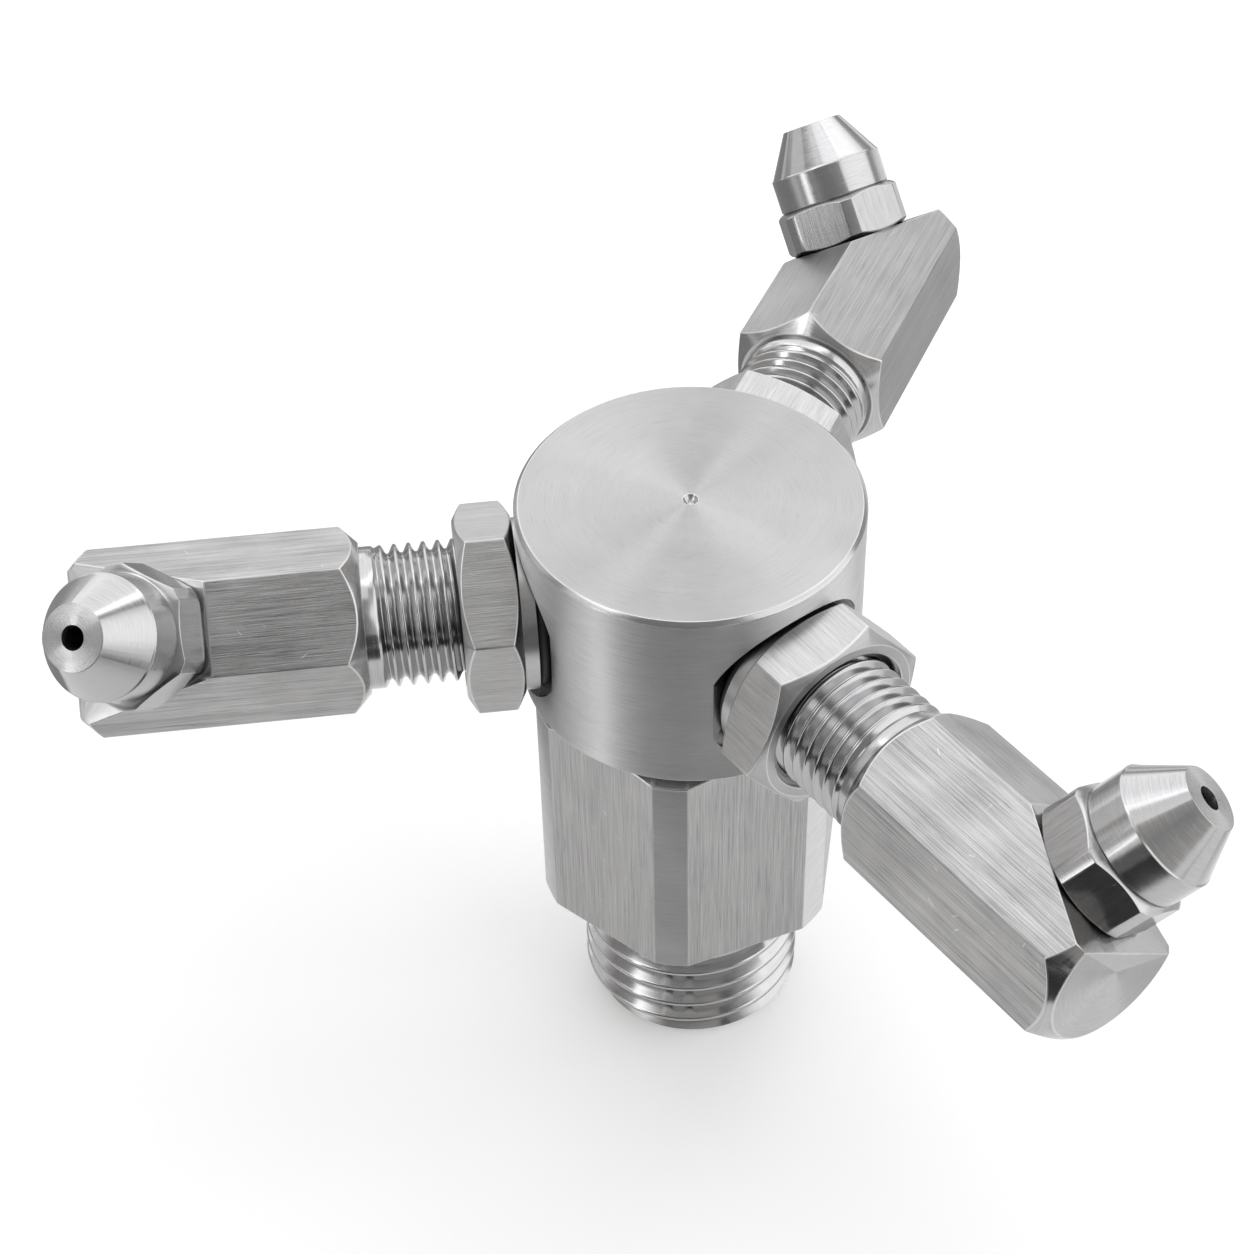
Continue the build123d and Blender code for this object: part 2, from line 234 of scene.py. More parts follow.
class FinishSettings(bpy.types.PropertyGroup):
    """Colours and surface values of the finishes"""

    bar_colour: tint("Bar steel", "Colour of the drawn hexagon bar", (0.385, 0.381, 0.378))
    nut_colour: tint("Nut steel", "Colour of the lock nuts' bar", (0.45, 0.446, 0.442))
    turned_colour: tint("Turned steel", "Colour of turned faces", (0.44, 0.437, 0.436))
    # Painted light: the turned sides use a lighter copy of the turned steel's colour.
    side_colour: tint("Turned side", "Colour of turned sides, lightened as painted light", (0.5984, 0.5943, 0.593))
    # Painted highlight: the rounded edges get a lighter steel colour than the flats.
    edge_colour: tint("Rubbed edge", "Colour of the edges, painted bright as a highlight", (0.56, 0.556, 0.552))
    # Painted shade: a near-black steel colour on the ports' spot faces, the nuts' inner ends and the
    # head's underside, where the parts shade each other.
    recess_colour: tint("Shade-painted steel", "Dark colour painted as shade on the spot faces, nut backs and head underside", (0.16, 0.159, 0.158))
    ring_colour: tint("Spring steel", "Colour of the retaining ring", (0.16, 0.16, 0.17))
    cage_colour: tint("Nylon", "Colour of the ball cages", (0.74, 0.68, 0.52))
    rubber_colour: tint("Rubber", "Colour of the seals", (0.02, 0.02, 0.021))
    bar_roughness: share("Bar roughness", "Roughness of the drawn bar", 0.34)
    turned_roughness: share("Turned roughness", "Roughness of turned faces", 0.27)
    soft_edge: size("Edge rounding", "How far every machined edge is rounded", 0.12)


class StageSettings(bpy.types.PropertyGroup):
    """The camera's place and the studio round the object"""

    azimuth: turn("Camera azimuth", "Direction the camera looks in, from +Y towards +X", 5.76)
    elevation: turn("Camera elevation", "How far the camera looks down", 45.15)
    roll: turn("Camera roll", "How far the camera is rolled", 1.378)
    distance: size("Camera distance", "Distance along the view to the head's top", 254.22)
    right: size("Head to the right", "How far right of the view's middle the head's top is", 5.71)
    up: size("Head up", "How far above the view's middle the head's top is", 11.51)
    lens: FloatProperty(
        name="Lens", description="Focal length on a 36 mm sensor", default=81.11, unit="CAMERA"
    )
    floor_colour: tint("Floor", "Colour of the studio floor", (0.8, 0.8, 0.8))
    floor_glow: share("Floor glow", "Light that lifts the floor to white behind the object", 0.28)
    lamp_colour: tint("Lamps", "Colour of the soft boxes", (0.958, 0.964, 1.0))
    room_colour: tint("Room", "Colour of the room round the stage", (0.508, 0.5, 0.486))


GROUPS = {
    "nozzle_body": SwivelBodySizes,
    "nozzle_hub": HubSizes,
    "nozzle_nut": NutSizes,
    "nozzle_arm": ArmSizes,
    "nozzle_tip": TipSizes,
    "nozzle_finish": FinishSettings,
    "nozzle_stage": StageSettings,
}


def soft_min(first, second, width):
    """The lesser of two distances, rounded where they are within a width of each other."""
    overlap = np.maximum(width - np.abs(first - second), 0)
    return np.minimum(first, second) - overlap**2 / (4 * width)


def round_columns(creases=(), reach=radians(1), step=radians(2.5)):
    """Angles round a piece: close together at its creases and never much further apart than a step."""
    near = np.array([c + reach * s for c in creases for s in (-1, -0.5, 0, 0.5, 1)]) % (2 * pi)
    count = ceil(2 * pi / step)
    angles = list(near)
    for angle in np.arange(count) * 2 * pi / count:
        gap = np.abs((near - angle + pi) % (2 * pi) - pi)
        if not len(near) or gap.min() > 0.4 * step:
            angles.append(angle)
    return np.array(sorted(angles))


def bar_radius(angles, edge, across_flats, facing, corner_d=None):
    """Distance from the axis to a hexagon bar's surface, with its long edges slightly rounded."""
    off = np.abs((angles - facing + pi / 6) % (pi / 3) - pi / 6)
    flat = across_flats / 2 / np.cos(off)
    neighbour = across_flats / 2 / np.cos(pi / 3 - off)
    radius = soft_min(flat, neighbour, edge)
    if corner_d:
        radius = soft_min(radius, corner_d / 2, edge / 2)
    return radius


def corner_bands(angles, across_flats, facing, corner_d, flat, band):
    """A finish for each column of a bar: one for its flats and one for its turned corners."""
    middle = (angles + np.roll(angles, -1)) / 2
    middle[-1] += pi
    off = np.abs((middle - facing + pi / 6) % (pi / 3) - pi / 6)
    return np.where(off < np.arccos(across_flats / corner_d), flat, band)


def bar_creases(across_flats, facing, corner_d=None):
    """The angles of a hexagon bar's long edges."""
    half = pi / 6 if corner_d is None else np.arccos(across_flats / corner_d)
    return [facing + k * pi / 3 + side * half for k in range(6) for side in (-1, 1)]


def whitworth(pitch):
    """One pitch of a rounded 55 degree thread: places along the pitch and depths below the crest."""
    radius = 0.137329 * pitch
    depth = 0.640327 * pitch
    arc = np.radians(np.linspace(-62.5, 62.5, 7))
    crest = [(0.5 + radius * sin(a) / pitch, radius * (1 - cos(a))) for a in arc]
    root = [(radius * sin(a) / pitch, depth - radius * (1 - cos(a))) for a in arc[3:]]
    end = [(1 + radius * sin(a) / pitch, depth - radius * (1 - cos(a))) for a in arc[:3]]
    return np.array(root + crest + end)


class Skin:
    """A closed surface built ring by ring about Z. A ring's radius and height may differ round it.

    The finish of its rounded corners, where they have one of their own, paints a highlight along them.
    """

    def __init__(self, angles, rubbed=None):
        self.angles = angles
        self.sides = [*(angles / (2 * pi)), 1 + angles[0] / (2 * pi)]
        self.rubbed = rubbed
        self.points = []
        self.faces = []
        self.finish = []
        self.corner_maps = []
        self.reach = 0.0

    def add_ring(self, radius, height):
        """Adds one ring of points and returns the number of its first point."""
        count = len(self.angles)
        radius = np.broadcast_to(radius, count)
        height = np.broadcast_to(height, count)
        self.points += list(zip(radius * np.cos(self.angles), radius * np.sin(self.angles), height))
        return len(self.points) - count

    def add_face(self, corners, finish, column, low, high):
        """Adds one face with its finish and its column and heights in the grain map."""
        left, right = self.sides[column : column + 2]
        self.faces.append(corners)
        self.finish.append(str(finish))
        self.corner_maps += [(left, low), (right, low), (right, high), (left, high)]

    def join(self, first, second, reach, finish):
        """Adds the faces between two rings, given the first point of each and their map heights."""
        count = len(self.angles)
        finish = np.broadcast_to(finish, count)
        for k in range(count):
            after = (k + 1) % count
            corners = (first + k, first + after, second + after, second + k)
            self.add_face(corners, finish[k], k, *reach)

    def profile(self, *stations, start=None):
        """Adds rings along a profile and returns the number of the last ring's first point.

        A station is (radius, height, rounding, finish), and the finish is that of the faces from
        it to the next one. Without them its corner stays sharp and the last finish goes on.
        Rounded stations become small arcs, whose faces take the corner finish where the skin has one,
        which paints a highlight along the edge.
        """
        count = len(self.angles)
        corners = np.array([[np.broadcast_to(v, count) for v in s[:2]] for s in stations])
        corners = corners.transpose(0, 2, 1)
        last = start
        finish = stations[0][3]
        at = corners[0]
        for i, (_, _, *given) in enumerate(stations):
            before, here, after = self.neighbours(corners, i)
            rounding = given[0] if given else 0
            if rounding > 0 and before is not None and after is not None:
                arc = self.corner_arc(before, here, after, rounding)
                repeated = np.linalg.norm(corners[i] - corners[i - 1], axis=1) < TINY
                arc = [np.where(repeated[:, None], arc[-1], p) for p in arc]
            else:
                arc = [here]
            for k, point in enumerate(arc):
                ring = self.add_ring(point[:, 0], point[:, 1])
                if last is not None:
                    travel = float(np.linalg.norm(point - at, axis=1).mean()) if i else 0
                    # The arc's faces take the edge finish, which paints a highlight along the edge.
                    coat = self.rubbed if k and self.rubbed else finish
                    self.join(last, ring, (self.reach, self.reach + travel), coat)
                    self.reach += travel
                last, at = ring, point
            finish = given[1] if given else finish
        return last

    @staticmethod
    def neighbours(corners, i):
        """The corner itself and the nearest different corners before and after it, column by column."""
        here = corners[i]

        def nearest(order):
            found = None
            for j in order:
                away = np.linalg.norm(corners[j] - here, axis=1) > TINY
                if found is None:
                    found, done = corners[j].copy(), away.copy()
                else:
                    found[away & ~done] = corners[j][away & ~done]
                    done |= away
                if done.all():
                    break
            return found

        return nearest(range(i - 1, -1, -1)), here, nearest(range(i + 1, len(corners)))

    @staticmethod
    def corner_arc(before, here, after, cut):
        """Points along a small curve that replaces a corner, column by column."""
        back, ahead = before - here, after - here
        length_back = np.linalg.norm(back, axis=1)[:, None] + TINY
        length_ahead = np.linalg.norm(ahead, axis=1)[:, None] + TINY
        cut = np.minimum(cut, 0.45 * np.minimum(length_back, length_ahead))
        start, end = here + back / length_back * cut, here + ahead / length_ahead * cut
        shares = np.linspace(0, 1, ARC_STEPS + 1)
        return [(1 - t) ** 2 * start + 2 * t * (1 - t) * here + t**2 * end for t in shares]

    def thread(self, low, high, diameter, pitch, end_chamfer, fade, finish, start):
        """Adds a right-hand thread from its chamfered free end up to where it fades out.

        Each ring follows the helix, so after one turn it meets the ring one pitch further on.
        Returns the number of the last ring's first point.
        """
        shape = whitworth(pitch)
        rows = len(shape)
        turns = ceil((high - low) / pitch) + 2
        places = (shape[:, 0][None, :] + np.arange(turns)[:, None]).ravel()
        lift = self.angles / (2 * pi)
        phases = np.append(shape[:, 0], 1 + shape[0, 0])
        depths = np.append(shape[:, 1], shape[0, 1])
        rings = []
        for place in places:
            height = np.clip(low - pitch + (place + lift) * pitch, low, high)
            phase = ((height - low) / pitch - lift) % 1
            depth = np.interp(phase, phases, depths)
            depth = depth * np.clip((high - height) / fade, 0, 1)
            radius = np.minimum(diameter / 2 - depth, diameter / 2 - end_chamfer + height - low)
            rings.append(self.add_ring(radius, height))
        first = rings[0]
        travel = diameter / 2 - end_chamfer
        self.join(start, first, (self.reach, self.reach + travel / 2), finish)
        count = len(self.angles)
        heights = self.reach + places * pitch
        for m in range(len(rings) - 1):
            for k in range(count):
                row, column = (m, k + 1) if k + 1 < count else (m + rows, 0)
                if row + 1 >= len(rings):
                    continue
                after = (rings[row] + column, rings[row + 1] + column)
                corners = (rings[m] + k, *after, rings[m + 1] + k)
                self.add_face(corners, finish, k, *(heights[m : m + 2] + lift[k] * pitch))
        self.reach += high - low
        return rings[-1]

    def build(self, name, place):
        """Makes the object: merges the points that fall together and faces every side outwards."""
        mesh = bpy.data.meshes.new(name)
        mesh.from_pydata(self.points, [], self.faces)
        grain = mesh.uv_layers.new(name=GRAIN_MAP)
        maps = np.array(self.corner_maps, np.float32)
        maps[:, 1] *= GRAIN_SCALE
        grain.uv.foreach_set("vector", maps.ravel())
        coats = list(dict.fromkeys(self.finish))
        mesh.polygons.foreach_set("material_index", [coats.index(coat) for coat in self.finish])
        for coat in coats:
            mesh.materials.append(bpy.data.materials[coat])
        work = bmesh.new()
        work.from_mesh(mesh)
        bmesh.ops.remove_doubles(work, verts=work.verts, dist=TINY * 5)
        bmesh.ops.dissolve_degenerate(work, edges=work.edges, dist=TINY * 5)
        bmesh.ops.recalc_face_normals(work, faces=work.faces)
        work.to_mesh(mesh)
        work.free()
        mesh.transform(place)
        piece = bpy.data.objects.new(name, mesh)
        bpy.context.scene.collection.objects.link(piece)
        return piece


def cut_away(piece, cutters):
    """Subtracts closed cutters from a piece and deletes them."""
    for cutter in cutters:
        modifier = piece.modifiers.new("cut", "BOOLEAN")
        modifier.operation = "DIFFERENCE"
        modifier.solver = "EXACT"
        modifier.material_mode = "TRANSFER"
        modifier.object = cutter
    depsgraph = bpy.context.evaluated_depsgraph_get()
    mesh = bpy.data.meshes.new_from_object(piece.evaluated_get(depsgraph))
    piece.modifiers.clear()
    piece.data = mesh
    for cutter in cutters:
        bpy.data.objects.remove(cutter)


def finish_piece(piece, node, body):
    """Shades a piece, checks it against the node that it stands for, and hands it to its body."""
    mesh = piece.data
    mesh.shade_smooth()
    mesh.set_sharp_from_angle(angle=CRISP_EDGE)
    weighted = piece.modifiers.new("face weights", "WEIGHTED_NORMAL")
    weighted.keep_sharp = True
    low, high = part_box(node)
    places = np.empty(len(mesh.vertices) * 3)
    mesh.vertices.foreach_get("co", places)
    places = places.reshape(-1, 3)
    apart = max(np.abs(places.min(0) - low).max(), np.abs(places.max(0) - high).max())
    if apart > MATCH:
        raise ValueError(f"{piece.name} departs {apart / MM:.2f} mm from node {node}")
    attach(piece, body)
    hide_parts(node)


def placed(origin, *axes):
    """The matrix that lays the X, Y and Z axes along three directions, from an origin."""
    return Matrix.Translation(origin) @ Matrix(axes).transposed().to_4x4()


def arm_place(letter, roll):
    """The matrix that lays a piece turned about Z along an arm, with its X side rolled round it."""
    joint = JOINTS[f"arm_{letter}_set"]
    out = Vector(joint["axis"]).normalized()
    level = Vector((-out.y, out.x, 0))
    side = level * cos(roll) + Vector((0, 0, 1)) * sin(roll)
    return placed((0, 0, joint["pos_m"][2]), side, out.cross(side), out)


def jet_place(tip):
    """The matrix of a nozzle tip inside its arm: Z runs out along the jet."""
    lean, rise = cos(tip.lean), sin(tip.lean)
    return placed((0, 0, tip.place_r), (-lean, 0, rise), (0, -1, 0), (rise, 0, lean))


def cone_height(radius, face_radius, angle):
    """How far an end cone has come from its face at a radius."""
    return np.maximum(radius - face_radius, 0) * tan(angle)


def new_group(name, inputs, outputs):
    """A shader node group with named value sockets, and its input and output nodes."""
    tree = bpy.data.node_groups.new(name, "ShaderNodeTree")
    for socket, default in inputs:
        made = tree.interface.new_socket(socket, in_out="INPUT", socket_type="NodeSocketFloat")
        made.default_value = default
    for socket in outputs:
        tree.interface.new_socket(socket, in_out="OUTPUT", socket_type="NodeSocketFloat")
    return tree, tree.nodes.new("NodeGroupInput"), tree.nodes.new("NodeGroupOutput")


def feed(tree, node, inputs):
    """Gives a node its inputs, each a value or another node's output."""
    for name, value in inputs.items():
        if isinstance(value, bpy.types.NodeSocket):
            tree.links.new(value, node.inputs[name])
        else:
            node.inputs[name].default_value = value


def add_node(tree, kind, inputs=None, **settings):
    """Adds a shader node with its settings and inputs, and returns its outputs."""
    node = tree.nodes.new(f"ShaderNode{kind}")
    for name, value in settings.items():
        setattr(node, name, value)
    feed(tree, node, inputs or {})
    return node.outputs


def maths(tree, operation, *values):
    """A math node's result; each input is an output or a number."""
    return add_node(tree, "Math", dict(enumerate(values)), operation=operation)[0]


def vector_maths(tree, operation, *values):
    """A vector math node's result, which is a number for a product or a length."""
    outputs = add_node(tree, "VectorMath", dict(enumerate(values)), operation=operation)
    return outputs["Value" if operation in ("DOT_PRODUCT", "LENGTH") else "Vector"]


def weighed(tree, start, *parts):
    """A start value plus other values, each times its weight."""
    for value, weight in parts:
        start = maths(tree, "MULTIPLY_ADD", value, weight, start)
    return start


def stretched(tree, value, low, high):
    """A value spread so that low becomes 0 and high becomes 1, and cut off beyond them."""
    return add_node(tree, "MapRange", {"Value": value, "From Min": low, "From Max": high})[0]


def toned(tree, factor, colour, spread):
    """A colour that goes from darker to lighter by a share of itself."""
    dark = (*[c * (1 - spread) for c in colour], 1)
    light = (*[min(1, c * (1 + spread)) for c in colour], 1)
    return add_node(tree, "Mix", {"Factor": factor, "A": dark, "B": light}, data_type="RGBA")["Result"]


def bumped(tree, height, microns):
    """A normal that follows a height."""
    return add_node(tree, "Bump", {"Height": height, "Distance": microns * MICRON, "Strength": 1.0})[0]


def machining_marks():
    """Makes the group that draws cutting or brushing marks from a piece's grain map.

    Around and Along say how many marks there are round the piece and on each centimetre along it.
    Marks are the fine ones, Bands the broad ones, and Lines a few thin dark ones.
    """
    # Each kind has its fineness and the noise values that become 0 and 1.
    kinds = {"Marks": (1, 0.3, 0.7), "Bands": (0.13, 0.3, 0.7), "Lines": (1.5, 0.58, 0.72)}
    inputs = [("Turn", 0), ("Reach", 0), ("Around", 1), ("Along", 100), ("Detail", 3)]
    tree, given, result = new_group("Machining marks", inputs, kinds)
    given = given.outputs
    angle = maths(tree, "MULTIPLY", given["Turn"], 2 * pi)
    east = maths(tree, "MULTIPLY", maths(tree, "COSINE", angle), given["Around"])
    north = maths(tree, "MULTIPLY", maths(tree, "SINE", angle), given["Around"])
    along = maths(tree, "MULTIPLY", given["Reach"], given["Along"])
    place = add_node(tree, "CombineXYZ", {0: east, 1: north, 2: along})[0]
    for output, (scale, low, high) in kinds.items():
        pattern = {"Vector": place, "Scale": scale, "Detail": given["Detail"], "Roughness": 0.62}
        noise = add_node(tree, "TexNoise", pattern)[0]
        feed(tree, result, {output: stretched(tree, noise, low, high)})


def handling_marks():
    """Makes the group that scatters faint cloudy stains and a few fine nicks over the steel."""
    nick_sizes = ((2.4, 0.5, 0.055), (7, 1.5, 0.035))  # spacing, reach and width in millimetres
    tree, given, result = new_group("Handling marks", [("Amount", 1)], ["Clouds", "Nicks"])
    place = add_node(tree, "TexCoord")["Object"]
    noise = add_node(tree, "TexNoise", {"Vector": place, "Scale": 160, "Detail": 5})[0]
    nicks = 0
    for spacing, reach, width in nick_sizes:
        cells = add_node(tree, "TexVoronoi", {"Vector": place, "Scale": 1 / (spacing * MM)})
        offset = vector_maths(tree, "SUBTRACT", place, cells["Position"])
        tilt = vector_maths(tree, "SUBTRACT", cells["Color"], (0.5, 0.5, 0.5))
        tilt = vector_maths(tree, "NORMALIZE", tilt)
        across = maths(tree, "ABSOLUTE", vector_maths(tree, "DOT_PRODUCT", offset, tilt))
        away = vector_maths(tree, "LENGTH", offset)
        line = stretched(tree, across, width * MM, 0.3 * width * MM)
        ends = stretched(tree, away, reach * MM, 0.4 * reach * MM)
        nicks = maths(tree, "MULTIPLY_ADD", line, ends, nicks)
    nicks = maths(tree, "MULTIPLY", nicks, stretched(tree, noise, 0.47, 0.57))
    nicks = maths(tree, "MULTIPLY", nicks, given.outputs["Amount"])
    feed(tree, result, {"Clouds": stretched(tree, noise, 0.3, 0.7), "Nicks": nicks})


def new_finish(name):
    """A new material, its node tree and its shader."""
    material = bpy.data.materials.new(name)
    material.use_nodes = True
    return material, material.node_tree, material.node_tree.nodes["Principled BSDF"]


def steel(name, colour, roughness, marks, turned=True, bands=0.1, detail=3, nicks=0):
    """A steel finish whose marks change its colour, roughness and height.

    The marks are (number round the piece, number on each centimetre along it, spread of their
    tones, height in micrometres, stretch of the gloss). On a turned face they run round the
    piece, and on drawn bar along it. Bands is the weight of broad marks and stains, detail how
    rough the marks are, and nicks how strong the nicks are.
    """
    mark_tone, line_tone, nick_tone = 0.8, -0.7, 0.9
    around, along, spread, height, stretch = marks
    _, tree, shader = new_finish(name)
    grain = add_node(tree, "UVMap", uv_map=GRAIN_MAP)[0]
    turned_by, reach = add_node(tree, "SeparateXYZ", {0: grain})[:2]
    places = {"Turn": turned_by, "Reach": reach, "Around": around, "Along": along, "Detail": detail}
    cut = add_node(tree, "Group", places, node_tree=bpy.data.node_groups["Machining marks"])
    handled = bpy.data.node_groups["Handling marks"]
    worn = add_node(tree, "Group", {"Amount": nicks}, node_tree=handled)
    tone = weighed(
        tree,
        0,
        (cut["Marks"], mark_tone - bands),
        (cut["Bands"], bands),
        (worn["Clouds"], bands),
        (cut["Lines"], line_tone),
        (worn["Nicks"], nick_tone),
    )
    rough = weighed(
        tree,
        0.75 * roughness,
        (cut["Marks"], 0.3 * roughness),
        (worn["Clouds"], 0.2 * roughness),
        (worn["Nicks"], 0.2),
    )
    surface = {
        "Base Color": toned(tree, tone, colour, spread),
        "Metallic": 1.0,
        "Roughness": rough,
        "Anisotropic": stretch,
        "Anisotropic Rotation": 0.25 if turned else 0.0,
        "Tangent": add_node(tree, "Tangent", direction_type="UV_MAP", uv_map=GRAIN_MAP)[0],
        "Normal": bumped(tree, maths(tree, "SUBTRACT", cut["Marks"], worn["Nicks"]), height),
    }
    feed(tree, shader, surface)


def plain_finish(name, colour, metallic, roughness, scale, height):
    """A finish without a grain map, for seals, cages and ground parts. Its height is in micrometres."""
    _, tree, shader = new_finish(name)
    place = add_node(tree, "TexCoord")["Object"]
    noise = add_node(tree, "TexNoise", {"Vector": place, "Scale": scale, "Detail": 5})[0]
    surface = {
        "Base Color": toned(tree, noise, colour, 0.12),
        "Metallic": metallic,
        "Roughness": weighed(tree, 0.85 * roughness, (noise, 0.3 * roughness)),
        "Normal": bumped(tree, noise, height),
    }
    feed(tree, shader, surface)


class NOZZLE_OT_finishes(bpy.types.Operator):
    """Make the steel, spring, nylon and rubber finishes"""

    bl_idname = "nozzle.make_finishes"
    bl_label = "Make finishes"

    def execute(self, context):
        look = context.scene.nozzle_finish
        machining_marks()
        handling_marks()
        bar, turned = look.bar_colour, look.turned_colour
        bar_rough, rough = look.bar_roughness, look.turned_roughness
        nut, drawn = look.nut_colour, {"turned": False, "detail": 5}
        steel("drawn bar", bar, bar_rough, (80, 1.2, 0.62, 14, 0.75), bands=0.25, nicks=1, **drawn)
        steel("drawn nut bar", nut, bar_rough, (80, 2.5, 0.34, 10, 0.75), bands=0.2, nicks=0.6, **drawn)
        steel("drawn body bar", bar, bar_rough, (130, 1.2, 0.4, 9, 0.75), bands=0.15, nicks=0.4, **drawn)
        steel("turned face", turned, 0.4, (3, 75, 0.13, 5, 0.97))
        # Painted light: the turned sides are lighter than the turned faces, though they are the same
        # steel.
        steel("turned side", look.side_colour, 0.55, (5, 75, 0.16, 6, 0.98))
        steel("turned cone", turned, 0.8 * rough, (2, 60, 0.14, 3, 0.6))
        steel("turned end", turned, 0.32, (2, 70, 0.14, 3, 0.96))
        steel("turned tip", turned, 0.8 * rough, (2, 80, 0.1, 1, 0.8))
        steel("tip front", turned, rough, (2, 90, 0.14, 3, 0.97))
        steel("tip flat", bar, 0.6 * bar_rough, (40, 3, 0.16, 1.5, 0.6), turned=False, nicks=0.5)
        steel("cut thread", turned, 0.62 * rough, (1, 40, 0.1, 1, 0.4))
        steel("milled seat", turned, 0.9 * rough, (3, 20, 0.12, 3, 0.3))
        steel("bored hole", turned, rough, (1, 50, 0.1, 2, 0.5))
        # Painted highlight: a lighter, smoother steel on every rounded edge.
        steel("highlighted edge", look.edge_colour, 0.3, (3, 60, 0.12, 1, 0.3))
        # Painted shade: this dark finish stands in for the shadow in the recesses and between the head,
        # nuts and body.
        steel("painted shade steel", look.recess_colour, rough, (1, 60, 0.12, 0.4, 0.5))
        plain_finish("ground steel", turned, 1, 0.16, 400, 0.5)
        plain_finish("washer steel", turned, 1, 0.3, 900, 2)
        plain_finish("dark spring steel", look.ring_colour, 1, 0.42, 600, 2)
        plain_finish("natural nylon", look.cage_colour, 0, 0.5, 300, 4)
        plain_finish("black rubber", look.rubber_colour, 0, 0.62, 700, 6)
        return {"FINISHED"}


class NOZZLE_OT_swivel_body(bpy.types.Operator):
    """Turn the hexagon swivel body with its inlet thread and bearing bore"""

    bl_idname = "nozzle.make_swivel_body"
    bl_label = "Make swivel body"

    def execute(self, context):
        body = context.scene.nozzle_body
        edge = context.scene.nozzle_finish.soft_edge
        low, top = BODY_LOW.z, BODY_HIGH.z
        shape = (body.across_flats, body.hexagon_turn, body.corner_d)
        skin = Skin(round_columns(bar_creases(*shape)), rubbed="highlighted edge")
        bar = bar_radius(skin.angles, edge, *shape)
        flat = corner_bands(skin.angles, *shape, "drawn body bar", "turned side")
        start = skin.add_ring(body.bore_d / 2, low)
        pitch = body.thread_pitch
        last = skin.thread(
            low, 0, body.thread_d, pitch, body.thread_chamfer, pitch, "cut thread", start
        )
        seal_r, bearing_r = body.seal_d / 2, body.bearing_d / 2
        groove_r = bearing_r + body.groove_depth
        cone_foot = top - cone_height(bar, body.top_d / 2, body.cone_angle)
        last = skin.profile(
            (body.thread_d / 2, 0, 0, "turned cone"),
            (bar, 0, edge, flat),
            (bar, cone_foot, edge, "turned cone"),
            (body.top_d / 2, top, edge, "turned cone"),
            (bearing_r, top, edge, "bored hole"),
            (bearing_r, body.groove_high),
            (groove_r, body.groove_high),
            (groove_r, body.groove_low),
            (bearing_r, body.groove_low),
            (bearing_r, body.bearing_floor),
            (seal_r, body.bearing_floor),
            (seal_r, body.seal_floor),
            (body.bore_d / 2, body.seal_floor),
            start=last,
        )
        skin.join(last, start, (skin.reach, skin.reach + body.seal_floor - low), "bored hole")
        piece = skin.build("swivel_body_threaded", Matrix())
        finish_piece(piece, "swivel_body", "swivel")
        return {"FINISHED"}


class NOZZLE_OT_hub(bpy.types.Operator):
    """Turn the head with its chamber, centre mark and three ports"""

    bl_idname = "nozzle.make_hub"
    bl_label = "Make head"

    def execute(self, context):
        hub = context.scene.nozzle_hub
        edge = context.scene.nozzle_finish.soft_edge
        radius, top = HUB_HIGH.x, HUB_HIGH.z
        bottom = BODY_HIGH.z + hub.gap
        rim = radius - hub.edge
        mark = hub.mark_d / 2 / tan(hub.mark_angle / 2)
        skin = Skin(round_columns(step=radians(1.5)), rubbed="highlighted edge")
        skin.profile(
            (0, top - mark, 0, "bored hole"),
            (hub.mark_d / 2, top, edge / 2, "turned face"),
            (rim, top, edge / 2, "turned cone"),
            (radius, top - hub.edge, edge / 2, "turned side"),
            (radius, bottom + hub.edge, edge / 2, "turned cone"),
            # The head's underside is painted dark as shade, so the body's top cone mirrors it darker.
            (rim, bottom, edge / 2, "painted shade steel"),
            (hub.spigot_d / 2, bottom, 0, "turned side"),
            (hub.spigot_d / 2, HUB_LOW.z, 0, "bored hole"),
            (hub.shaft_bore_d / 2, HUB_LOW.z),
            (hub.shaft_bore_d / 2, hub.chamber_low),
            (hub.chamber_d / 2, hub.chamber_low),
            (hub.chamber_d / 2, top - hub.roof),
            (0, top - hub.roof),
        )
        piece = skin.build("hub_turned", Matrix())
        thread_r = context.scene.nozzle_arm.thread_d / 2 + THREAD_PLAY
        cutters = []
        for letter in LETTERS:
            port = Skin(round_columns(step=radians(4)))
            port.profile(
                (0, hub.chamber_d / 4, 0, "bored hole"),
                (hub.passage_d / 2, hub.chamber_d / 4),
                (hub.passage_d / 2, hub.port_floor),
                (thread_r, hub.port_floor),
                # The spot face's floor and wall are painted dark as shade.
                (thread_r, hub.spot_r, 0, "painted shade steel"),
                (hub.spot_d / 2, hub.spot_r),
                (hub.spot_d / 2, 2 * radius),
                (0, 2 * radius, 0, "bored hole"),
            )
            cutters.append(port.build(f"port_cutter_{letter}", arm_place(letter, 0)))
        cut_away(piece, cutters)
        finish_piece(piece, "hub", "head")
        return {"FINISHED"}


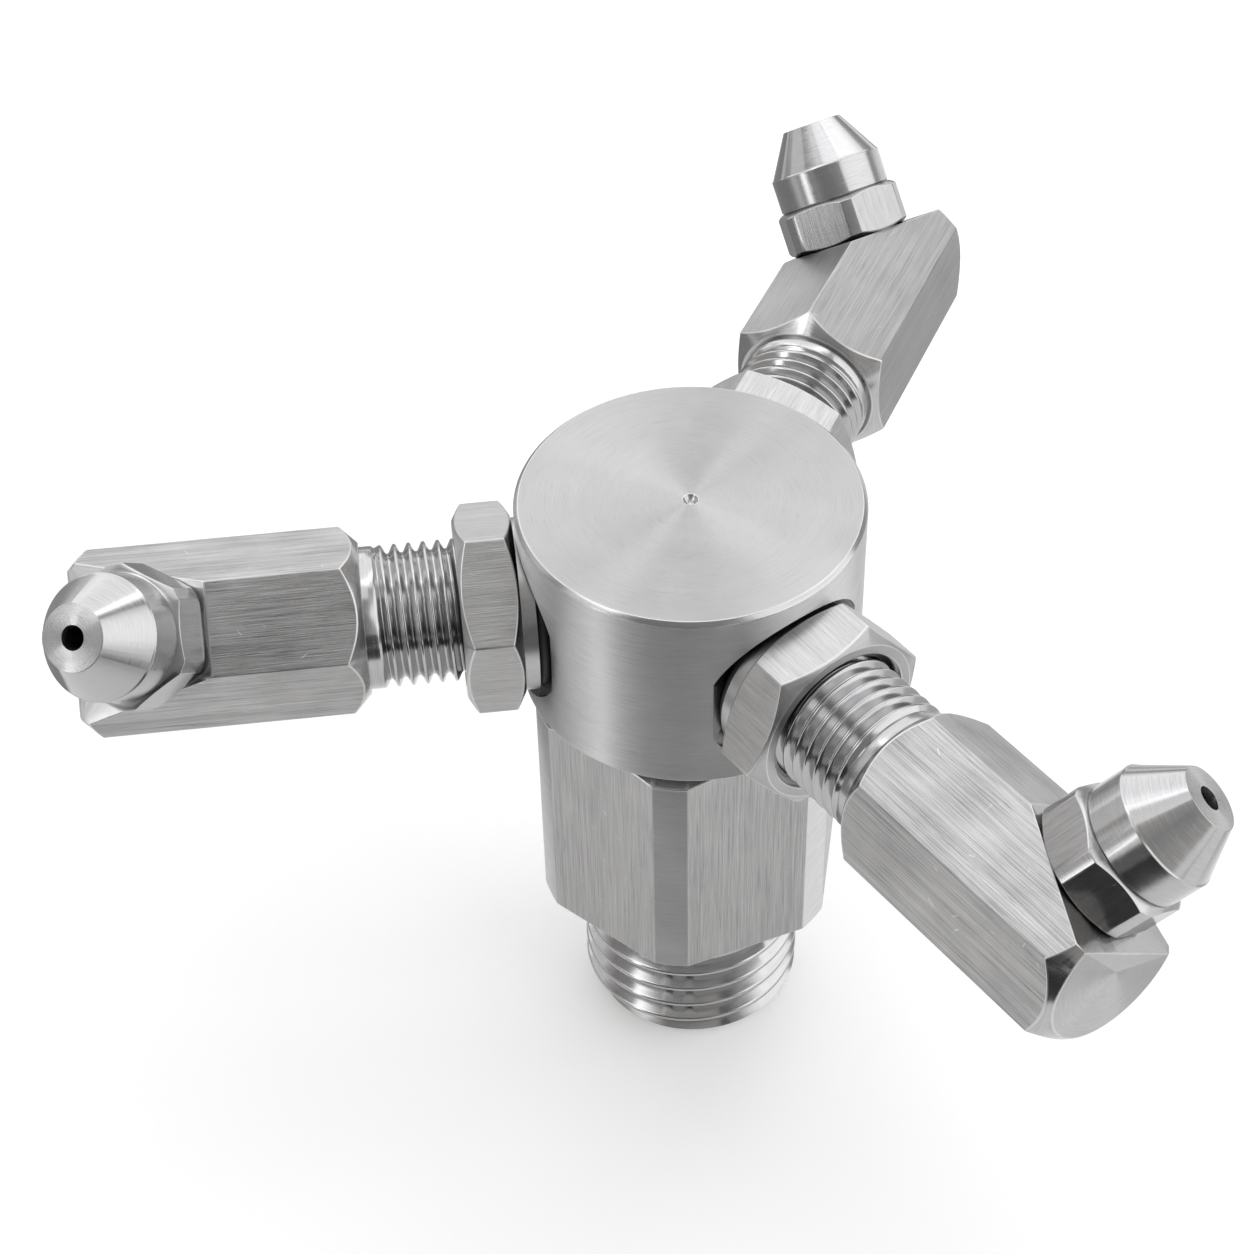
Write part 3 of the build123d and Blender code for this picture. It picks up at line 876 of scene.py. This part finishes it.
class NOZZLE_OT_lock_nuts(bpy.types.Operator):
    """Cut the three lock nuts"""

    bl_idname = "nozzle.make_lock_nuts"
    bl_label = "Make lock nuts"

    def execute(self, context):
        nut = context.scene.nozzle_nut
        edge = context.scene.nozzle_finish.soft_edge
        bore_r = context.scene.nozzle_arm.thread_d / 2 + THREAD_PLAY
        mouth_r = bore_r + nut.countersink
        inner, outer = nut.inner_r, nut.inner_r + nut.width
        for letter, roll in zip(LETTERS, nut.rolls):
            skin = Skin(round_columns(bar_creases(nut.across_flats, 0)), rubbed="highlighted edge")
            bar = bar_radius(skin.angles, edge, nut.across_flats, 0)
            rise = cone_height(bar, nut.face_d / 2, nut.cone_angle)
            skin.profile(
                (bore_r, inner, 0, "bored hole"),
                (bore_r, outer - nut.countersink),
                (mouth_r, outer, edge / 2, "turned face"),
                (nut.face_d / 2, outer, edge / 2, "turned face"),
                (bar, outer - rise, edge, "drawn nut bar"),
                # The nut's inner cone and face, towards the head, are painted dark as shade.
                (bar, inner + rise, edge, "painted shade steel"),
                (nut.face_d / 2, inner, edge / 2, "painted shade steel"),
                (bore_r, inner),
            )
            piece = skin.build(f"lock_nut_{letter}_chamfered", arm_place(letter, roll))
            finish_piece(piece, f"lock_nut_{letter}", "head")
        return {"FINISHED"}


class NOZZLE_OT_arms(bpy.types.Operator):
    """Cut the three hexagon arms with their threaded stems and slanted seats"""

    bl_idname = "nozzle.make_arms"
    bl_label = "Make arms"

    def execute(self, context):
        arm, tip = context.scene.nozzle_arm, context.scene.nozzle_tip
        for letter, roll in zip(LETTERS, arm.rolls):
            flat = "drawn body bar" if letter == "c" else "drawn bar"
            skin = self.outline(arm, tip, context.scene.nozzle_finish.soft_edge, flat)
            place = arm_place(letter, roll)
            piece = skin.build(f"arm_body_{letter}_threaded", place)
            cut_away(piece, [self.tip_hole(tip, place)])
            finish_piece(piece, f"arm_body_{letter}", f"arm_{letter}")
        return {"FINISHED"}

    @staticmethod
    def outline(arm, tip, edge, flat):
        """The arm's skin: waterway, threaded stem, coned hexagon and the plane of its seat."""
        # The seat's edge curves most between these angles, so the skin has more columns there.
        seat_edges = [radians(side * angle) for angle in range(62, 75, 2) for side in (-1, 1)]
        skin = Skin(round_columns(bar_creases(arm.across_flats, 0) + seat_edges), rubbed="highlighted edge")
        bar = bar_radius(skin.angles, edge, arm.across_flats, 0)
        face_r = arm.end_d / 2
        facing = np.cos(skin.angles) * sin(tip.lean)
        reach = tip.place_r * cos(tip.lean) + tip.seat_h
        seat_z = (reach - bar * facing) / cos(tip.lean)
        cone_z = arm.end_r - (bar - face_r)
        flat_end = np.minimum(seat_z, cone_z)
        with np.errstate(divide="ignore", invalid="ignore"):
            end_r = np.where(facing > 0, (reach - arm.end_r * cos(tip.lean)) / facing, np.inf)
            back = (face_r - end_r) / (cos(tip.lean) / facing - 1)
        back = np.where(end_r < face_r, np.where(back > 0, back, np.inf), 0)
        back = np.minimum(back, bar - face_r)
        on_cone = seat_z > cone_z
        middle_r = np.where(on_cone, face_r + back, bar)
        middle_z = np.where(on_cone, arm.end_r - back, flat_end)
        start = skin.add_ring(0, arm.bore_end_r + arm.bore_d / 2 / tan(DRILL_POINT))
        last = skin.profile(
            (arm.bore_d / 2, arm.bore_end_r, 0, "bored hole"),
            (arm.bore_d / 2, arm.stem_r),
            start=start,
        )
        land_r, fade = arm.neck_r - arm.land, 0.7 * arm.thread_pitch
        last = skin.thread(
            arm.stem_r, land_r, arm.thread_d, arm.thread_pitch, arm.stem_chamfer, fade, "cut thread", last
        )
        skin.profile(
            (arm.thread_d / 2, land_r, 0, "turned cone"),
            (arm.thread_d / 2, arm.neck_r),
            (face_r, arm.neck_r, edge, "turned cone"),
            (bar, arm.neck_r + bar - face_r, edge, flat),
            (bar, flat_end, edge, "turned cone"),
            (middle_r, middle_z, edge, "milled seat"),
            (np.minimum(end_r, face_r), arm.end_r, edge, "turned end"),
            (0, arm.end_r),
            start=last,
        )
        return skin

    @staticmethod
    def tip_hole(tip, place):
        """The cutter for the tip's threaded hole and its seal's recess."""
        hole = Skin(round_columns(step=radians(5)))
        hole_r = tip.stem_d / 2 + THREAD_PLAY
        recess_low = tip.seat_h - tip.recess_depth
        hole.profile(
            (0, tip.seat_h - tip.hole_depth, 0, "bored hole"),
            (hole_r, tip.seat_h - tip.hole_depth),
            (hole_r, recess_low),
            (tip.recess_d / 2, recess_low),
            (tip.recess_d / 2, tip.seat_h + MM),
            (0, tip.seat_h + MM),
        )
        return hole.build("tip_hole_cutter", place @ jet_place(tip))


class NOZZLE_OT_nozzle_tips(bpy.types.Operator):
    """Turn the three nozzle tips"""

    bl_idname = "nozzle.make_nozzle_tips"
    bl_label = "Make nozzle tips"

    def execute(self, context):
        tip, arm = context.scene.nozzle_tip, context.scene.nozzle_arm
        edge = context.scene.nozzle_finish.soft_edge
        hexagon_top = tip.seat_h + tip.hexagon_w
        collar_top = hexagon_top + tip.collar_w
        front = collar_top + tip.cone_w
        stem_end = tip.seat_h - tip.stem_len
        collar_r = tip.collar_d / 2
        edge_r = collar_r - tip.collar_edge
        throat_end = front - tip.orifice_len
        for letter, roll, facing in zip(LETTERS, arm.rolls, tip.turns):
            shape = (tip.across_flats, facing, tip.corner_d)
            skin = Skin(round_columns(bar_creases(*shape), reach=radians(0.8)))
            bar = bar_radius(skin.angles, edge, *shape)
            flat = corner_bands(skin.angles, *shape, "tip flat", "turned tip")
            face_r = np.minimum(tip.hexagon_face_d / 2, bar)
            rise = cone_height(bar, tip.hexagon_face_d / 2, tip.cone_angle)
            skin.profile(
                (tip.bore_d / 2, stem_end, 0, "bored hole"),
                (tip.bore_d / 2, throat_end - tip.throat_w),
                (tip.orifice_d / 2, throat_end),
                (tip.orifice_d / 2, front, edge / 3, "tip front"),
                (tip.front_d / 2, front, edge / 2, "turned tip"),
                (edge_r, collar_top, edge / 3, "turned tip"),
                (collar_r, collar_top - tip.collar_edge, edge / 3, "turned tip"),
                (collar_r, hexagon_top + tip.collar_edge, edge / 3, "turned tip"),
                (edge_r, hexagon_top),
                (face_r, hexagon_top),
                (bar, hexagon_top - rise, edge / 2, flat),
                (bar, tip.seat_h + rise, edge / 2, "turned tip"),
                (face_r, tip.seat_h),
                (tip.stem_d / 2, tip.seat_h),
                (tip.stem_d / 2, stem_end + tip.stem_chamfer),
                (tip.stem_d / 2 - tip.stem_chamfer, stem_end),
                (tip.bore_d / 2, stem_end),
            )
            place = arm_place(letter, roll) @ jet_place(tip)
            piece = skin.build(f"nozzle_tip_{letter}_turned", place)
            finish_piece(piece, f"nozzle_tip_{letter}", f"arm_{letter}")
        return {"FINISHED"}


class NOZZLE_OT_inner_parts(bpy.types.Operator):
    """Give the bearings, seals, shaft, washers and rings their finishes"""

    bl_idname = "nozzle.finish_inner_parts"
    bl_label = "Finish inner parts"

    coats = {
        "ground steel": ("race", "balls", "rotor_shaft", "spacer"),
        "washer steel": ("washer",),
        "dark spring steel": ("retaining_ring",),
        "natural nylon": ("cage",),
        "black rubber": ("seal", "o_ring"),
    }

    def execute(self, context):
        for name, node in frame["nodes"].items():
            for coat, words in self.coats.items():
                if any(word in name for word in words):
                    node.data.materials.clear()
                    node.data.materials.append(bpy.data.materials[coat])
                    node.data.shade_smooth()
                    node.data.set_sharp_from_angle(angle=CRISP_INNER_EDGE)
        return {"FINISHED"}


class NOZZLE_OT_stage(bpy.types.Operator):
    """Set up the pale floor, the soft studio lights and the camera"""

    bl_idname = "nozzle.set_stage"
    bl_label = "Set stage"

    # Each soft box has an azimuth and elevation in degrees, a width and height, and its radiance.
    soft_boxes = {
        "key_light": (85, 48, 1.3, 1.3, 1.22),
        "top_light": (90, 88, 0.6, 0.6, 1.0),
        "right_light": (-20, 28, 1.2, 1.1, 1.4),
    }
    # These soft boxes only show in the steel and leave the floor alone.
    accents = {
        "key_left_strip": (130, 40, 0.2, 0.9, 1.2),
        "key_right_strip": (45, 48, 0.2, 0.9, 1.2),
        "back_light": (108, 12, 1.0, 0.2, 1.2),
        "left_light": (-164, 40, 0.45, 0.6, 0.75),
        "left_top_light": (-162, 50, 0.4, 0.3, 2.4),
        "left_edge_light": (-150, 12, 0.12, 0.5, 3.4),
        "left_back_light": (152, 26, 0.55, 0.5, 0.55),
    }
    # Each standing card has an azimuth and elevation in degrees, a width and height, and its grey.
    standing_cards = {
        "front_flag": (-112, 2, 1.0, 0.52, 0.02),
        "front_shade": (-104, 35, 0.8, 0.6, 0.34),
    }
    # Each card on the floor has an azimuth in degrees, its near and far edges, a width and its grey.
    floor_cards = {
        "front_floor_flag": (-104, 0.12, 0.9, 0.4, 0.02),
        "right_floor_flag": (20, 0.08, 0.26, 0.2, 0.6),
        "back_floor_flag": (130, 0.07, 0.5, 0.5, 0.3),
    }
    floor_width, lamp_distance, card_distance = 6.0, 1.0, 0.9

    def execute(self, context):
        stage = context.scene.nozzle_stage
        self.add_camera(context.scene, stage)
        self.add_floor(stage)
        for name, (azimuth, elevation, *shape) in (self.soft_boxes | self.accents).items():
            light = self.soft_box(name, stage.lamp_colour, *shape)
            light.matrix_world = self.facing(azimuth, elevation, self.lamp_distance)
            light.visible_diffuse = name in self.soft_boxes
        for name, (azimuth, elevation, *shape) in self.standing_cards.items():
            self.card(name, self.facing(azimuth, elevation, self.card_distance), *shape)
        for name, (azimuth, near, far, width, grey) in self.floor_cards.items():
            place = Matrix.Rotation(radians(azimuth - 90), 4, "Z")
            place.translation = place @ Vector((0, (near + far) / 2, BODY_LOW.z))
            self.card(name, place, width, far - near, grey)
        self.add_room(context.scene, stage)
        return {"FINISHED"}

    @staticmethod
    def add_camera(scene, stage):
        """The camera, placed from its angles and from where it sees the head's top."""
        level = Vector((cos(stage.azimuth), -sin(stage.azimuth), 0))
        away = Vector((sin(stage.azimuth), cos(stage.azimuth), 0))
        forward = away * cos(stage.elevation) - Vector((0, 0, 1)) * sin(stage.elevation)
        upward = away * sin(stage.elevation) + Vector((0, 0, 1)) * cos(stage.elevation)
        right = level * cos(stage.roll) - upward * sin(stage.roll)
        up = level * sin(stage.roll) + upward * cos(stage.roll)
        head_top = Vector((0, 0, HUB_HIGH.z))
        place = head_top - right * stage.right - up * stage.up - forward * stage.distance
        camera = bpy.data.objects.new("camera", bpy.data.cameras.new("camera"))
        camera.matrix_world = placed(place, right, up, -forward)
        camera.data.sensor_width = 36
        camera.data.lens = stage.lens
        camera.data.clip_start = 0.01
        camera.data.clip_end = 20
        scene.collection.objects.link(camera)
        scene.camera = camera

    @staticmethod
    def sheet(name, place, width, height, colour):
        """A flat matt sheet of the stage, with its node tree and shader."""
        mesh = bpy.data.meshes.new(name)
        corners = [(x * width / 2, y * height / 2, 0) for x, y in ((-1, -1), (1, -1), (1, 1), (-1, 1))]
        mesh.from_pydata(corners, [], [(0, 1, 2, 3)])
        sheet = bpy.data.objects.new(name, mesh)
        sheet.matrix_world = place
        bpy.context.scene.collection.objects.link(sheet)
        material, tree, shader = new_finish(name)
        feed(tree, shader, {"Base Color": (*colour, 1), "Roughness": 0.9})
        mesh.materials.append(material)
        return sheet, tree, shader

    def add_floor(self, stage):
        """A wide pale floor just under the inlet thread.

        It is lifted to white for the camera and for what the steel mirrors, and it is clear from
        below, so that a view from there sees the object's underside.
        """
        place = Matrix.Translation((0, 0, BODY_LOW.z - FLOOR_GAP))
        width = self.floor_width
        floor, tree, shader = self.sheet("studio_floor", place, width, width, stage.floor_colour)
        rays = add_node(tree, "LightPath")
        seen = maths(tree, "MAXIMUM", rays["Is Camera Ray"], rays["Is Glossy Ray"])
        seen = maths(tree, "MAXIMUM", seen, rays["Is Transmission Ray"])
        glow = maths(tree, "MULTIPLY", seen, stage.floor_glow)
        lift = {"Specular IOR Level": 0.1, "Emission Color": (1, 1, 1, 1), "Emission Strength": glow}
        feed(tree, shader, lift)
        below = add_node(tree, "NewGeometry")["Backfacing"]
        clear = add_node(tree, "BsdfTransparent")[0]
        surface = add_node(tree, "MixShader", {0: below, 1: shader.outputs[0], 2: clear})[0]
        feed(tree, tree.nodes["Material Output"], {"Surface": surface})

    @staticmethod
    def facing(azimuth, elevation, distance):
        """The matrix of a panel that stands off in a direction, facing the object's middle."""
        azimuth, elevation = radians(azimuth), radians(elevation)
        level = cos(elevation)
        out = Vector((level * cos(azimuth), level * sin(azimuth), sin(elevation)))
        panel = out.to_track_quat("Z", "Y").to_matrix().to_4x4()
        panel.translation = out * distance + Vector((0, 0, STAGE_MIDDLE))
        return panel

    @staticmethod
    def soft_box(name, colour, width, height, radiance):
        """One rectangular soft box."""
        lamp = bpy.data.lights.new(name, "AREA")
        lamp.shape = "RECTANGLE"
        lamp.size, lamp.size_y = width, height
        lamp.energy = radiance * pi * width * height
        lamp.color = colour
        light = bpy.data.objects.new(name, lamp)
        bpy.context.scene.collection.objects.link(light)
        return light

    def card(self, name, place, width, height, grey):
        """One grey card that only shows in reflections."""
        card, _, _ = self.sheet(name, place, width, height, (grey, grey, grey))
        for ray in ("camera", "diffuse", "transmission", "shadow"):
            setattr(card, f"visible_{ray}", False)

    @staticmethod
    def add_room(scene, stage):
        """The pale room round the stage."""
        scene.world = bpy.data.worlds.new("studio")
        scene.world.use_nodes = True
        tree = scene.world.node_tree
        feed(tree, tree.nodes["Background"], {"Color": (*stage.room_colour, 1), "Strength": 1.0})


OPERATORS = (
    NOZZLE_OT_finishes,
    NOZZLE_OT_swivel_body,
    NOZZLE_OT_hub,
    NOZZLE_OT_lock_nuts,
    NOZZLE_OT_arms,
    NOZZLE_OT_nozzle_tips,
    NOZZLE_OT_inner_parts,
    NOZZLE_OT_stage,
)


class NOZZLE_PT_panel(bpy.types.Panel):
    """The sizes and the steps that build the nozzle"""

    bl_idname = "NOZZLE_PT_panel"
    bl_label = "Rotating cleaning nozzle"
    bl_space_type = "VIEW_3D"
    bl_region_type = "UI"
    bl_category = "Nozzle"

    def draw(self, context):
        for operator in OPERATORS:
            self.layout.operator(operator.bl_idname)
        for group in GROUPS:
            settings = getattr(context.scene, group)
            box = self.layout.box()
            box.label(text=type(settings).__doc__)
            for prop in type(settings).__annotations__:
                box.prop(settings, prop)


CLASSES = (*GROUPS.values(), *OPERATORS, NOZZLE_PT_panel)


def register():
    """Register the classes and hang their settings on the scene."""
    for item in CLASSES:
        bpy.utils.register_class(item)
    for name, group in GROUPS.items():
        setattr(bpy.types.Scene, name, PointerProperty(type=group))


def unregister():
    """Undo register."""
    for name in GROUPS:
        delattr(bpy.types.Scene, name)
    for item in reversed(CLASSES):
        bpy.utils.unregister_class(item)


def main():
    """Build everything in order."""
    register()
    bpy.context.scene.view_settings.view_transform = "Standard"
    bpy.ops.nozzle.make_finishes()
    bpy.ops.nozzle.make_swivel_body()
    bpy.ops.nozzle.make_hub()
    bpy.ops.nozzle.make_lock_nuts()
    bpy.ops.nozzle.make_arms()
    bpy.ops.nozzle.make_nozzle_tips()
    bpy.ops.nozzle.finish_inner_parts()
    bpy.ops.nozzle.set_stage()


if __name__ == "__main__":
    main()
